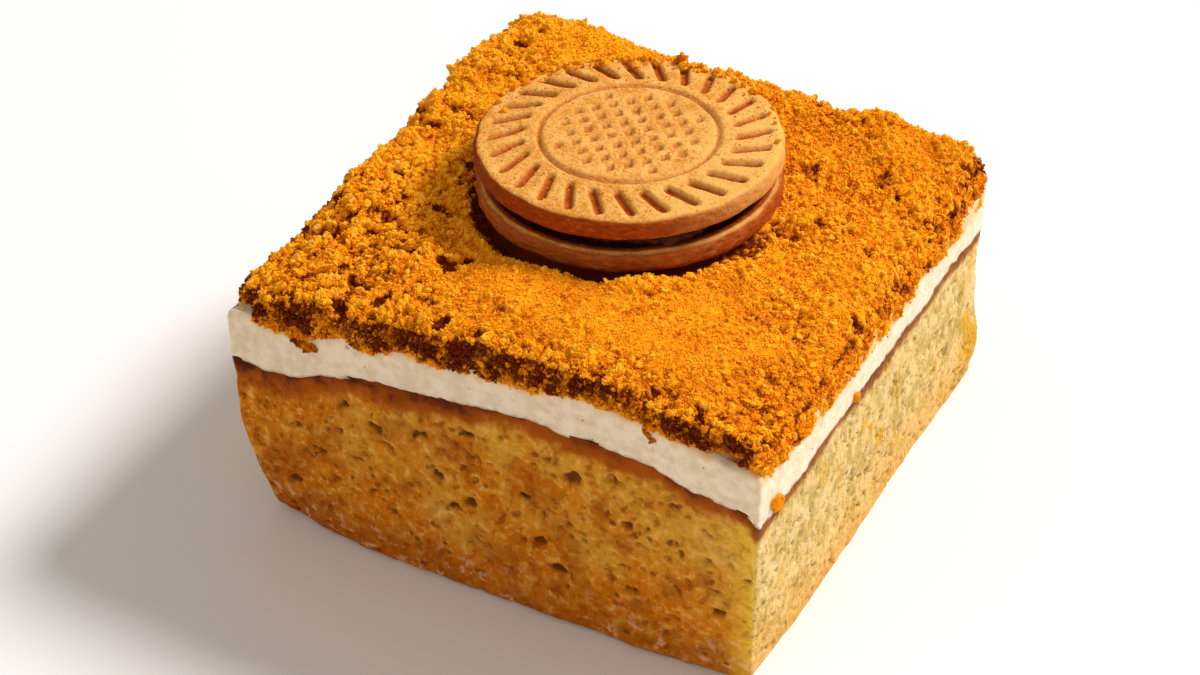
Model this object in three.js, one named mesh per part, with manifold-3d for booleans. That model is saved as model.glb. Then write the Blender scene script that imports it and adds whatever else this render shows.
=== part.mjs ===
// A square piece of milk cake, cut from a tray: soaked sponge with a browned top, a layer of whipped
// cream, a thick bed of biscuit crumbs and one round sandwich biscuit lying on the crumbs.
// Millimetres, +Z up. The origin is the middle of the face that the cake rests on. -Y is the cut side
// at the front, and the layers climb from the corners to a low crown in the middle of the piece.
import * as THREE from "three";
import { mergeVertices } from "three/addons/utils/BufferGeometryUtils.js";
import Module from "manifold-3d";

// The piece as it was cut
const CAKE_SIDE = 81.8;
const CORNER_RADIUS = 1.1;
const CUT_UNEVENNESS = 0.4; // how far the cut sides wander in and out
const CROWN_RISE = 4.9; // the layers stand this much higher in the middle of the front side
const CROWN_SHIFT = 0.1; // share of half a side by which the crown lies right of the middle
const CROWN_STEEPNESS = 1.2; // above 1, the layers leave the corners more flatly
const CROWN_FADE = 0.35; // share of the crown that is lost towards the back
const BACK_CORNER_RISE = 4.2; // the back left corner stands this much higher than the others
const RIDGE = [ // along the front side, at each x, the sponge's top stands this much higher still
  [-10, 0], [4, 0.9], [12, 1.4], [22, 2.3], [26, 2.8], [31, 2.2], [39, 2.2], [41, 0.4],
];
const RIDGE_WIDTH = 10; // it fades out over this distance behind the front side
const CREAM_RIDGE = 0.32; // share of it by which the top of the cream rises too

// Sponge
const SPONGE_HEIGHT = 27.2; // at the three low corners
const BASE_ROUNDING = 1.3; // the soaked lower edge is rounded off
const WORN_CORNERS = [ // soft corners that draw in towards the base
  { x: -1, y: -1, inset: 3.6, reach: 12, height: 19 },
  { x: 1, y: -1, inset: 1, reach: 9, height: 12 },
];
const BULGE = { x: 1, y: 1, height: 6.5, out: 1.1, reach: 5 }; // of the back right corner
const PORES_PER_SIDE = 13;
const PORE_RADIUS = { least: 0.8, most: 1.8 };

// Cream
const CREAM_THICKNESS = 8.5;
const CREAM_SHOULDER = 1.1; // the rounded upper edge

// Crumb bed
const CRUMB_DEPTH = 3.9;
const CRUMB_CLUMPS = { wide: 8, height: 1.3 };
const CRUMB_LUMPS = { wide: 3.4, height: 0.8 };
const CRUMB_EDGE = { height: 0.9, width: 1.7 }; // the bed thins out over this width at its outline
const CRUMB_SPILL = { least: 0.9, most: 2.3 }; // how far crumbs hang down over the cream's shoulder
const FRONT_SPILL = [ // at each x of the front side; below 0, how far behind the edge they begin
  [-41, -1.8], [-37.5, -1.5], [-36, 0.3], [-32, 1.6], [-28, 2], [-24, 0.8], [-21, 0.5], [-18, 2.3],
  [-12, 1.2], [-5, 2.1], [9, 1.9], [13, 0.8], [18, 0.4], [22, 0], [33, 0], [37, -1.2], [39, -0.5], [41, 0],
];
const RIGHT_SPILL = [ // and at each y of the right side
  [-41, 0], [-38, 0.8], [-34, 1.3], [-25, 2.2], [-15, 2.6], [-8, 2.4], [0, 2.7], [10, 2.3], [15, 1.6],
  [22, 2.6], [32, 3], [41, 2.2],
];
const CRUMB_REACH = 0.4; // most that crumbs stand out past the cut side
const CRUMB_SETBACK = 0.75; // most that the ragged outline stays inside the cut side
const BED_CELLS = 34;
const GRAINS = 90;
const GRAIN_RADIUS = { least: 0.75, most: 1.7 };
const HEAPS = [
  { x: -31, y: 35, height: 3, radius: 11 }, // at the back left corner
  { x: -37, y: 9, height: 2.4, radius: 15 }, // along the left side
  { x: 31, y: 36, height: 2.6, radius: 9 }, // on the back edge
  { x: -8, y: 34, height: 1.2, radius: 6 }, // behind the biscuit
];

// Sandwich biscuit
const BISCUIT_DIAMETER = 44;
const WAFER_THICKNESS = 3.3;
const WAFER_CROWN = 0.35; // how far the middle of the top wafer stands above its rim
const WAFER_SPACING = 2;
const FILLING_RADIUS = 18.6;
const BISCUIT_PLACE = { x: -0.3, y: 2.9, bed: 3.1, leanBack: 2.6, leanSide: 0.6 }; // leans in degrees
const PRESSED_ROOM = 2.4; // the crumbs are pressed flat under the biscuit and this far past its rim
const ROPE_STROKES = 28; // slanted dents all round the top wafer
const STROKE = { inner: 14.6, outer: 20.2, width: 1.6, depth: 0.75, slant: 26 };
const RING_GROOVE = { radius: 12.7, width: 1.2, depth: 0.55 };
const DIAMONDS = { field: 10.6, spacing: 3.7, width: 1.9, length: 2.7, depth: 0.5 };

const GAP = 0.3; // clearance between touching pieces
const SLIVER = 0.05; // what a cut leaves that is thinner than this is smoothed away
const CROWN_CELLS = 18;
const SIDE_STEPS = 14; // points of an outline along one side
const ARC_STEPS = 2; // and round one corner
const HALF = CAKE_SIDE / 2;
const CREAM_TOP = SPONGE_HEIGHT + CREAM_THICKNESS;
const BISCUIT_RADIUS = BISCUIT_DIAMETER / 2;

const wasm = await Module();
wasm.setup();

// --- Small tools -------------------------------------------------------------------------------

// A seeded source of numbers from 0 to 1.
function dice(seed) {
  let state = seed;
  return () => {
    state = (state + 0x6d2b79f5) | 0;
    let t = Math.imul(state ^ (state >>> 15), 1 | state);
    t = (t + Math.imul(t ^ (t >>> 7), 61 | t)) ^ t;
    return ((t ^ (t >>> 14)) >>> 0) / 4294967296;
  };
}

const between = (roll, { least, most }) => least + (most - least) * roll();

// The value at a place, on the straight lines through a table's points.
function fromTable(table, place) {
  const k = table.findIndex(([end]) => end >= place);
  if (k === 0) return table[0][1];
  if (k < 0) return table.at(-1)[1];
  const [[a, low], [b, high]] = [table[k - 1], table[k]];
  return THREE.MathUtils.mapLinear(place, a, b, low, high);
}

function latticeValue(i, j, seed) {
  return dice(Math.imul(i, 374761393) ^ Math.imul(j, 668265263) ^ Math.imul(seed, 69069))();
}

// Smooth unevenness from -1 to 1, with one value for each lattice cell of the given width.
function unevenness(x, y, width, seed) {
  const [p, q] = [x / width, y / width];
  const [i, j] = [Math.floor(p), Math.floor(q)];
  const [s, t] = [p - i, q - j].map((f) => f * f * (3 - 2 * f));
  const near = THREE.MathUtils.lerp(latticeValue(i, j, seed), latticeValue(i + 1, j, seed), s);
  const far = THREE.MathUtils.lerp(latticeValue(i, j + 1, seed), latticeValue(i + 1, j + 1, seed), s);
  return 2 * THREE.MathUtils.lerp(near, far, t) - 1;
}

function solidOf(geometry) {
  const bare = geometry.clone();
  bare.deleteAttribute("normal");
  bare.deleteAttribute("uv");
  const merged = mergeVertices(bare, 1e-4);
  const made = new wasm.Mesh({
    numProp: 3,
    vertProperties: merged.attributes.position.array,
    triVerts: new Uint32Array(merged.index.array),
  });
  return new wasm.Manifold(made);
}

const joined = (solids) => solids.reduce((sum, solid) => sum.add(solid));

// The largest body of a solid, without the loose scraps and slivers that a cut can leave.
function wholePiece(solid) {
  const bodies = solid.simplify(SLIVER).decompose();
  return bodies.reduce((a, b) => (a.volume() > b.volume() ? a : b));
}

function geometryOf(solid) {
  const mesh = solid.getMesh();
  const geometry = new THREE.BufferGeometry();
  geometry.setAttribute("position", new THREE.BufferAttribute(mesh.vertProperties, mesh.numProp));
  geometry.setIndex(new THREE.BufferAttribute(mesh.triVerts, 1));
  geometry.computeVertexNormals();
  return geometry;
}

function piece(name, geometry, color, roughness) {
  const material = new THREE.MeshStandardMaterial({ color, roughness, metalness: 0 });
  const mesh = new THREE.Mesh(geometry, material);
  mesh.name = name;
  return mesh;
}

// A closed body from rings of equally many points, lowest ring first, with a point in the middle of
// the first and of the last ring.
function loft(rings) {
  const count = rings[0].length;
  const middle = (ring) => ring.reduce((sum, p) => sum.add(p), new THREE.Vector3()).divideScalar(count);
  const points = [...rings.flat(), middle(rings[0]), middle(rings.at(-1))];
  const [under, over] = [points.length - 2, points.length - 1];
  const faces = [];
  for (let i = 0; i < count; i++) {
    const next = (i + 1) % count;
    faces.push(under, next, i);
    for (let r = 0; r + 1 < rings.length; r++) {
      const [a, b] = [r * count + i, r * count + next];
      faces.push(a, b, b + count, a, b + count, a + count);
    }
    const last = (rings.length - 1) * count;
    faces.push(over, last + i, last + next);
  }
  return bodyOf(points, faces);
}

// A closed body under a square grid: plan places a grid point, top gives its height, and rim the
// height at which the wall round the grid ends. The underside runs from there to one middle point.
function gridBody(cells, plan, top, rim, middle) {
  const row = cells + 1;
  const points = [];
  for (let j = 0; j <= cells; j++)
    for (let i = 0; i <= cells; i++) {
      const { x, y } = plan((2 * i) / cells - 1, (2 * j) / cells - 1);
      points.push(new THREE.Vector3(x, y, top(x, y)));
    }
  const faces = [];
  for (let j = 0; j < cells; j++)
    for (let i = 0; i < cells; i++) {
      const a = j * row + i;
      faces.push(a, a + 1, a + row + 1, a, a + row + 1, a + row);
    }
  const around = [];
  for (let k = 0; k < cells; k++) around.push(k);
  for (let k = 0; k < cells; k++) around.push(k * row + cells);
  for (let k = cells; k > 0; k--) around.push(cells * row + k);
  for (let k = cells; k > 0; k--) around.push(k * row);
  const below = points.length;
  for (const k of around) points.push(points[k].clone().setZ(rim(points[k].x, points[k].y)));
  points.push(new THREE.Vector3(0, 0, middle));
  around.forEach((a, k) => {
    const next = (k + 1) % around.length;
    faces.push(a, below + k, below + next, a, below + next, around[next]);
    faces.push(below + next, below + k, below + around.length);
  });
  return bodyOf(points, faces);
}

function bodyOf(points, faces) {
  const geometry = new THREE.BufferGeometry().setFromPoints(points);
  geometry.setIndex(faces);
  return solidOf(geometry);
}

// An angular lump of few faces, turned and stretched at random.
function lump(roll, shape, x, y, z) {
  const geometry = shape.clone();
  geometry.scale(0.8 + 0.5 * roll(), 0.8 + 0.5 * roll(), 0.75 + 0.35 * roll());
  geometry.rotateX(Math.PI * roll());
  geometry.rotateZ(Math.PI * roll());
  geometry.translate(x, y, z);
  return solidOf(geometry);
}

// --- The shape that all layers share -----------------------------------------------------------

// How much higher than at its corners the piece stands over a point of its plan.
function rise(x, y) {
  const across = THREE.MathUtils.clamp(x / HALF, -1, 1);
  const back = THREE.MathUtils.clamp((y / HALF + 1) / 2, 0, 1);
  const shifted = across - CROWN_SHIFT * (1 - across ** 2);
  const hump = Math.max(0, Math.cos((Math.PI / 2) * shifted)) ** CROWN_STEEPNESS;
  const crown = CROWN_RISE * hump * (1 - CROWN_FADE * back);
  return crown + BACK_CORNER_RISE * ((1 - across) / 2) * back;
}

const ridge = (x, y) => fromTable(RIDGE, x) * Math.exp(-(((Math.max(y, -HALF) + HALF) / RIDGE_WIDTH) ** 2));
const spongeTop = (x, y) => SPONGE_HEIGHT + rise(x, y) + ridge(x, y);
const creamTop = (x, y) => CREAM_TOP + rise(x, y) + CREAM_RIDGE * ridge(x, y);

// Everything below a surface, on a grid that is finer towards the front.
function below(surface) {
  const reach = HALF + 4;
  const plan = (u, v) => ({ x: u * reach, y: (2 * ((v + 1) / 2) ** 1.4 - 1) * reach });
  return gridBody(CROWN_CELLS, plan, surface, () => -20, -20);
}

// The cut square with rounded corners, drawn in by inset, as the points of one ring.
function cutOutline(inset, seed) {
  const points = [];
  const straight = HALF - CORNER_RADIUS;
  for (let side = 0; side < 4; side++) {
    const spots = [];
    for (let k = 0; k < SIDE_STEPS; k++)
      spots.push({ x: -straight + (2 * straight * k) / SIDE_STEPS, y: -HALF, angle: -Math.PI / 2 });
    for (let k = 0; k < ARC_STEPS; k++) {
      const angle = -Math.PI / 2 + ((Math.PI / 2) * k) / ARC_STEPS;
      const x = straight + CORNER_RADIUS * Math.cos(angle);
      const y = -straight + CORNER_RADIUS * Math.sin(angle);
      spots.push({ x, y, angle });
    }
    const turn = new THREE.Matrix4().makeRotationZ((side * Math.PI) / 2);
    for (const { x, y, angle } of spots) {
      const place = new THREE.Vector3(x, y, 0).applyMatrix4(turn);
      const out = new THREE.Vector3(Math.cos(angle), Math.sin(angle), 0).applyMatrix4(turn);
      const wander = 0.5 + 0.5 * unevenness(place.x + place.y, place.x - place.y, 13, seed);
      points.push(place.addScaledVector(out, -inset - CUT_UNEVENNESS * wander));
    }
  }
  return points;
}

// --- Sponge --------------------------------------------------------------------------------------

// Moves a point of the sponge's outline inwards where a soft corner is worn, outwards where one bulges.
function wear(point) {
  const { x: bx, y: by, height: bulgeHeight, out, reach: bulgeReach } = BULGE;
  const centre = new THREE.Vector3(bx * HALF, by * HALF, bulgeHeight);
  const swell = out * Math.exp(-((point.distanceTo(centre) / bulgeReach) ** 2));
  point.x += bx * swell;
  point.y += by * swell;
  for (const { x, y, inset, reach, height } of WORN_CORNERS) {
    const near = Math.exp(-((Math.hypot(point.x - x * HALF, point.y - y * HALF) / reach) ** 2));
    const low = Math.max(0, 1 - point.z / height) ** 1.6;
    point.x -= x * inset * near * low;
    point.y -= y * inset * near * low;
  }
  return point;
}

function spongeSolid() {
  const heights = [0, 0.5, 1.6, 4.5, 10, 16, 22, SPONGE_HEIGHT + CROWN_RISE + 6];
  const rings = heights.map((z, level) => {
    const low = Math.max(0, 1 - z / (1.6 * BASE_ROUNDING));
    return cutOutline(BASE_ROUNDING * low * low, 3 + level).map((p) => wear(p.setZ(z)));
  });
  const block = loft(rings).intersect(below(spongeTop));
  const roll = dice(81);
  const pores = [];
  for (let side = 0; side < 4; side++) {
    const turn = new THREE.Matrix4().makeRotationZ((side * Math.PI) / 2);
    for (let k = 0; k < PORES_PER_SIDE; k++) {
      const along = (((k + roll()) / PORES_PER_SIDE) * 2 - 1) * (HALF - 6);
      const radius = between(roll, PORE_RADIUS);
      const height = 5 + roll() * (SPONGE_HEIGHT - 10);
      const spot = new THREE.Vector3(along, -HALF + 0.5, height).applyMatrix4(turn);
      pores.push(lump(roll, new THREE.OctahedronGeometry(radius, 0), spot.x, spot.y, spot.z));
    }
  }
  return wholePiece(block.subtract(joined(pores)));
}

// --- Cream ---------------------------------------------------------------------------------------

// The cream's sides and rounded upper edge, grown outwards by spare. It runs on above and below,
// where it is cut off.
function creamSides(spare) {
  const lip = CREAM_SHOULDER;
  const profile = [
    { inset: 0.1, drop: CREAM_THICKNESS + 3 },
    { inset: 0, drop: lip },
    { inset: 0.2 * lip, drop: 0.35 * lip },
    { inset: 0.9 * lip, drop: -0.05 * lip },
    { inset: 0.9 * lip, drop: -CREAM_THICKNESS },
  ];
  return loft(
    profile.map(({ inset, drop }, level) => {
      const ring = cutOutline(inset - spare, 31 + Math.min(level, 1));
      return ring.map((p) => p.setZ(creamTop(p.x, p.y) - drop + spare));
    }),
  );
}

function creamSolid() {
  const slab = creamSides(0).intersect(below(creamTop));
  return wholePiece(slab.subtract(below((x, y) => spongeTop(x, y) + GAP)));
}

// --- Crumb bed -----------------------------------------------------------------------------------

// The plane that the biscuit's underside lies in, as a height over a point of the plan.
function biscuitPlane(x, y) {
  const { x: cx, y: cy, bed, leanBack, leanSide } = BISCUIT_PLACE;
  const slope = (degrees) => Math.tan(THREE.MathUtils.degToRad(degrees));
  return CREAM_TOP + rise(cx, cy) + bed + (y - cy) * slope(leanBack) - (x - cx) * slope(leanSide);
}

// A round swelling of the given height that fades out over its radius.
const mound = (height, { x: mx, y: my, radius }, x, y) =>
  height * Math.exp(-(((x - mx) ** 2 + (y - my) ** 2) / radius ** 2));

const fromBiscuit = (x, y) => Math.hypot(x - BISCUIT_PLACE.x, y - BISCUIT_PLACE.y) - BISCUIT_RADIUS;

// Height of the crumbs' upper surface over a point of the plan.
function crumbTop(x, y) {
  const clumps = CRUMB_CLUMPS.height * unevenness(x, y, CRUMB_CLUMPS.wide, 11);
  const lumps = CRUMB_LUMPS.height * unevenness(x, y, CRUMB_LUMPS.wide, 12);
  const heaps = HEAPS.reduce((sum, heap) => sum + mound(heap.height, heap, x, y), 0);
  const depth = CRUMB_DEPTH + clumps + lumps + heaps;
  const toEdge = Math.max(0, HALF + CRUMB_REACH - Math.max(Math.abs(x), Math.abs(y)));
  const full = 1 - Math.exp(-toEdge / CRUMB_EDGE.width);
  const height = creamTop(x, y) + CRUMB_EDGE.height + (depth - CRUMB_EDGE.height) * full;
  return fromBiscuit(x, y) < PRESSED_ROOM ? Math.min(height, biscuitPlane(x, y) - GAP) : height;
}

// How far the crumbs hang down at the place on the edge that lies in the direction of x and y.
function spill(x, y) {
  const far = Math.max(Math.abs(x), Math.abs(y), SLIVER);
  if (-y === far) return fromTable(FRONT_SPILL, (x / far) * HALF);
  if (x === far) return fromTable(RIGHT_SPILL, (y / far) * HALF);
  const share = 0.5 + 0.5 * unevenness((x / far) * HALF, (y / far) * HALF, 6, 22);
  return THREE.MathUtils.lerp(CRUMB_SPILL.least, CRUMB_SPILL.most, share);
}

function crumbPlan(u, v) {
  const [x, y] = [u * HALF, v * HALF];
  const ragged = CRUMB_SETBACK * (0.5 + 0.5 * unevenness(x, y, 5, 21));
  const begin = Math.max(0, -spill(u, v)) * Math.max(Math.abs(u), Math.abs(v)) ** 8;
  const size = (HALF + CRUMB_REACH - ragged - 1.2 * begin) * (1 - 0.02 * (u * v) ** 6);
  return { x: u * size, y: v * size };
}

function crumbSolid() {
  const hang = (x, y) => creamTop(x, y) - Math.max(spill(x, y), -0.2);
  const bed = gridBody(BED_CELLS, crumbPlan, crumbTop, hang, CREAM_TOP - 1);
  const roll = dice(1204);
  const grains = [];
  while (grains.length < GRAINS) {
    const [u, v] = [2 * roll() - 1, 2 * roll() - 1];
    const radius = between(roll, GRAIN_RADIUS);
    const spot = crumbPlan(u * 0.97, v * 0.97);
    if (fromBiscuit(spot.x, spot.y) < radius + 1) continue;
    const height = crumbTop(spot.x, spot.y) + 0.25 * radius;
    grains.push(lump(roll, new THREE.IcosahedronGeometry(radius, 0), spot.x, spot.y, height));
  }
  const cream = creamSides(GAP).intersect(below((x, y) => creamTop(x, y) + GAP));
  return wholePiece(joined([bed, ...grains]).subtract(cream));
}

// --- Sandwich biscuit ----------------------------------------------------------------------------

const WAFER_SEGMENTS = 48;

// Half the section of a round wafer with its underside at z = 0, up to where its top face begins.
const waferRim = [
  [0, 0], [BISCUIT_RADIUS - 1, 0], [BISCUIT_RADIUS, 0.35 * WAFER_THICKNESS],
  [BISCUIT_RADIUS - 0.1, 0.72 * WAFER_THICKNESS], [BISCUIT_RADIUS - 0.6, WAFER_THICKNESS - 0.2],
  [BISCUIT_RADIUS - 1.6, WAFER_THICKNESS],
];

function turned(profile) {
  const section = profile.map(([r, z]) => new THREE.Vector2(r, z));
  return solidOf(new THREE.LatheGeometry(section, WAFER_SEGMENTS).rotateX(Math.PI / 2));
}

// A four-sided boat-shaped dent, pressed in at a place and in a direction of the plan.
function dent({ length, width, depth }, x, y, angle) {
  const boat = new THREE.OctahedronGeometry(1, 0);
  boat.scale(length / 2, width / 2, depth);
  boat.rotateZ(angle);
  boat.translate(x, y, WAFER_THICKNESS + WAFER_CROWN);
  return solidOf(boat);
}

function ropeBorder() {
  const { inner, outer, width, depth, slant } = STROKE;
  const lean = THREE.MathUtils.degToRad(slant);
  const stroke = { length: (outer - inner) / Math.cos(lean), width, depth: depth + WAFER_CROWN / 2 };
  const radius = (inner + outer) / 2;
  return Array.from({ length: ROPE_STROKES }, (_, k) => {
    const around = (2 * Math.PI * k) / ROPE_STROKES;
    return dent(stroke, radius * Math.cos(around), radius * Math.sin(around), around + lean);
  });
}

// Diamond-shaped dents in staggered rows over the middle of the wafer.
function diamonds() {
  const { field, spacing } = DIAMONDS;
  const reach = Math.ceil(field / spacing) * 2;
  const dents = [];
  for (let row = -reach; row <= reach; row++)
    for (let k = -reach; k <= reach; k++) {
      const [x, y] = [(k + (row % 2) / 2) * spacing, (row * spacing) / 2];
      if (Math.hypot(x, y) < field) dents.push(dent(DIAMONDS, x, y, Math.PI / 2));
    }
  return dents;
}

function upperWaferSolid() {
  const { radius, width, depth } = RING_GROOVE;
  const top = WAFER_THICKNESS + WAFER_CROWN;
  const wafer = turned([
    ...waferRim, [radius + width / 2, top], [radius, top - depth], [radius - width / 2, top], [0, top],
  ]);
  return wafer.subtract(joined([...ropeBorder(), ...diamonds()]));
}

// The filling, pressed out unevenly between the wafers and well short of their rims.
function fillingSolid(low, high) {
  const ring = (z, swell) => Array.from({ length: 44 }, (_, k) => {
    const around = (2 * Math.PI * k) / 44;
    const ragged = unevenness(20 * Math.cos(around), 20 * Math.sin(around), 4, 51);
    const radius = FILLING_RADIUS + 0.55 * ragged + swell;
    return new THREE.Vector3(radius * Math.cos(around), radius * Math.sin(around), z);
  });
  return loft([ring(low, -0.2), ring((low + high) / 2, 0.25), ring(high, -0.15)]);
}

function sandwichBiscuit() {
  const biscuit = new THREE.Group();
  const upperBase = WAFER_THICKNESS + WAFER_SPACING;
  const lowerWafer = turned([...waferRim, [0, WAFER_THICKNESS]]);
  const filling = fillingSolid(WAFER_THICKNESS + GAP, upperBase - GAP);
  biscuit.add(
    piece("biscuit_lower_wafer", geometryOf(lowerWafer), 0xb5702f, 0.85),
    piece("biscuit_filling", geometryOf(filling), 0x8a5527, 0.6),
    piece("biscuit_upper_wafer", geometryOf(upperWaferSolid()), 0xd09049, 0.85),
  );
  biscuit.children.at(-1).position.z = upperBase;
  const { x, y, leanBack, leanSide } = BISCUIT_PLACE;
  biscuit.position.set(x, y, biscuitPlane(x, y));
  biscuit.rotation.set(THREE.MathUtils.degToRad(leanBack), THREE.MathUtils.degToRad(leanSide), 0);
  return biscuit;
}

// --- The whole piece -----------------------------------------------------------------------------

const cake = new THREE.Group();
cake.add(
  piece("sponge", geometryOf(spongeSolid()), 0xc08a3c, 0.8),
  piece("cream", geometryOf(creamSolid()), 0xe9e2d2, 0.55),
  piece("crumb_bed", geometryOf(crumbSolid()), 0xc8751a, 0.95),
  sandwichBiscuit(),
);
const middle = new THREE.Box3().setFromObject(cake, true).getCenter(new THREE.Vector3());
cake.position.set(-middle.x, -middle.y, 0);

export default cake;
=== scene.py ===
"""A square piece of milk cake: soaked sponge, cream, biscuit crumbs and one sandwich biscuit.

The sections follow the cake as it is put together, from the sponge up to the last loose crumbs.
Places are worked out in millimetres from the middle of the cake's underside. add_piece turns them
into metres in the frame.
"""

import math

import bmesh
import bpy
import numpy as np
from mathutils import Matrix, Vector, noise


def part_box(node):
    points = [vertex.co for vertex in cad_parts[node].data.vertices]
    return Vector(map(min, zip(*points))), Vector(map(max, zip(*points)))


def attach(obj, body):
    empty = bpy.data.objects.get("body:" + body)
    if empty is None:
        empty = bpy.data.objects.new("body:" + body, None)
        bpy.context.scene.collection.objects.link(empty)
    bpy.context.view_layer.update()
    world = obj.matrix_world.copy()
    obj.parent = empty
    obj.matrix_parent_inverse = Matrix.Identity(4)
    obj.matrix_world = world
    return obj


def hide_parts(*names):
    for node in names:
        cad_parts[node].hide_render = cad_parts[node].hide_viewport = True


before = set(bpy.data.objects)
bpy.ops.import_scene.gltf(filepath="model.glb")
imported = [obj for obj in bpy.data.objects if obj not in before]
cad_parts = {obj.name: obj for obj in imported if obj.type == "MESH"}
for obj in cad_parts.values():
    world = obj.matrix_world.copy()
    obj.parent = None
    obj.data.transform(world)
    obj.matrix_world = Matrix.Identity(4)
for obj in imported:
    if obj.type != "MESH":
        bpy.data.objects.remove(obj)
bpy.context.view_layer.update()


# --- Sponge -----------------------------------------------------------------------------
# A yellow sponge that was baked in a tray, soaked with milk and cut. Its four cut sides show the
# open crumb, with pores of all sizes, darker and wetter towards the base, and under the cream the
# edge of its browned top shows as a dark band.

MM = 0.001
cream_low, cream_high = (np.array(corner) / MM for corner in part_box("cream"))
MIDDLE = np.array([*(cream_low + cream_high)[:2] / 2, 0])
HALF = (cream_high - cream_low)[0] / 2
CORNER_RADIUS = 1.1
SPONGE_HEIGHT = 27.2
CROWN_RISE, CROWN_SHIFT, CROWN_STEEPNESS, CROWN_FADE = 4.9, 0.1, 1.2, 0.35
BACK_CORNER_RISE = 4.2
# Height of the ridge at places across the front side, as (x, height).
RIDGE = np.array(((-10, 0), (4, 0.9), (12, 1.4), (22, 2.3), (26, 2.8), (31, 2.2), (39, 2.2), (41, 0.4))).T
RIDGE_WIDTH = 10
# Height of the seam over the sponge's top, along x at the front and along y on the right.
SEAM_FRONT = np.array((
    (-40, 1.0), (-37.5, 0.7), (-35, 0.0), (-28.5, -0.4), (-27, 0.4), (-24, 0.8), (-17.5, 1.1), (-13, 0.9),
    (-7.5, 0.5), (3.5, 0.6), (9, 0.8), (13.5, 0.0), (17.5, 0.2), (26, 0.0), (30.5, -0.2), (37, 0.2),
)).T
SEAM_RIGHT = np.array((
    (-41, -0.2), (-36, 0.0), (-30, 0.4), (-24, 0.7), (-14, 1.1), (-6, 0.9), (0, 0.7), (9, 0.9), (18, 0.7),
    (22, 1.2), (26, 1.7), (30.5, 0.9), (41, 0.6),
)).T
SEAM_LAP = 0.35  # how far the sponge reaches up behind the cream
SPONGE_COLUMNS, SPONGE_ROWS = 1000, 92
BASE_ROUNDING = 0.9
BULGE_HEIGHT, BULGE_OUT, BULGE_REACH = 6.5, 1.1, 5
# The corners of the front side that are worn thin, as (side, depth, reach, height).
WORN_CORNERS = ((-1, 2.9, 12, 19), (1, 1.0, 9, 12))


def rise(x, y):
    """How much higher than at its low corners the cake stands over a point of its plan."""
    across = np.clip(x / HALF, -1, 1)
    back = np.clip((y / HALF + 1) / 2, 0, 1)
    shifted = across - CROWN_SHIFT * (1 - across**2)
    hump = np.maximum(0, np.cos(np.pi / 2 * shifted)) ** CROWN_STEEPNESS
    return CROWN_RISE * hump * (1 - CROWN_FADE * back) + BACK_CORNER_RISE * (1 - across) / 2 * back


def unevenness(points, width, seed):
    """Smooth noise of about -1 to 1 at each point, with swellings of the given width."""
    shift = Vector((7.3, 3.1, 5.7)) * seed
    flat = [noise.noise(Vector(p) / width + shift) for p in points.reshape(-1, 3).tolist()]
    return 1.5 * np.array(flat).reshape(points.shape[:-1])


def smooth_step(values, start, end):
    share = np.clip((values - start) / (end - start), 0, 1)
    return share * share * (3 - 2 * share)


def ridge(x, y):
    """How much higher still the sponge stands along the right of the front side."""
    return np.interp(x, *RIDGE) * np.exp(-((np.maximum(y + HALF, 0) / RIDGE_WIDTH) ** 2))


def sponge_top(x, y):
    return SPONGE_HEIGHT + rise(x, y) + ridge(x, y)


def by_side(x, y, front, right, elsewhere):
    """A value that follows one table along the front side and another along the right side."""
    on_right = smooth_step(x, HALF - 1.2, HALF - 0.3)
    values = elsewhere + on_right * (np.interp(y, *right) - elsewhere)
    on_front = smooth_step(-y, HALF - 1.2, HALF - 0.3)
    return values + on_front * (np.interp(x, *front) - values)


def seam(x, y):
    """Height of the line between sponge and cream, which wanders along the cut sides."""
    where = np.stack([x, y, 0 * x], -1)
    wander = by_side(x, y, SEAM_FRONT, SEAM_RIGHT, 0.4 + 0.5 * unevenness(where, 6, 11))
    return sponge_top(x, y) + wander + 0.18 * unevenness(where, 1.3, 12)


def turned(x, y, angle):
    return x * np.cos(angle) - y * np.sin(angle), x * np.sin(angle) + y * np.cos(angle)


def cut_outline(share):
    """Places on the outline of the cut square, and the directions out of it, from 0 to 1 round."""
    straight = 2 * (HALF - CORNER_RADIUS)
    side, along = np.divmod(share * 4, 1)
    along = along * (straight + CORNER_RADIUS * np.pi / 2)
    bend = np.clip(along - straight, 0, None) / CORNER_RADIUS
    x = np.minimum(along, straight) - straight / 2 + CORNER_RADIUS * np.sin(bend)
    y = -straight / 2 - CORNER_RADIUS * np.cos(bend)
    turn = side * np.pi / 2
    return *turned(x, y, turn), *turned(np.sin(bend), -np.cos(bend), turn)


def side_grid(columns, rows):
    """Shares of the way round the cut sides and of the way up them, over a grid."""
    return np.meshgrid(np.arange(columns) / columns, np.arange(rows + 1) / rows)


def as_mesh(bm, name):
    mesh = bpy.data.meshes.new(name)
    bm.to_mesh(mesh)
    bm.free()
    return mesh


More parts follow.
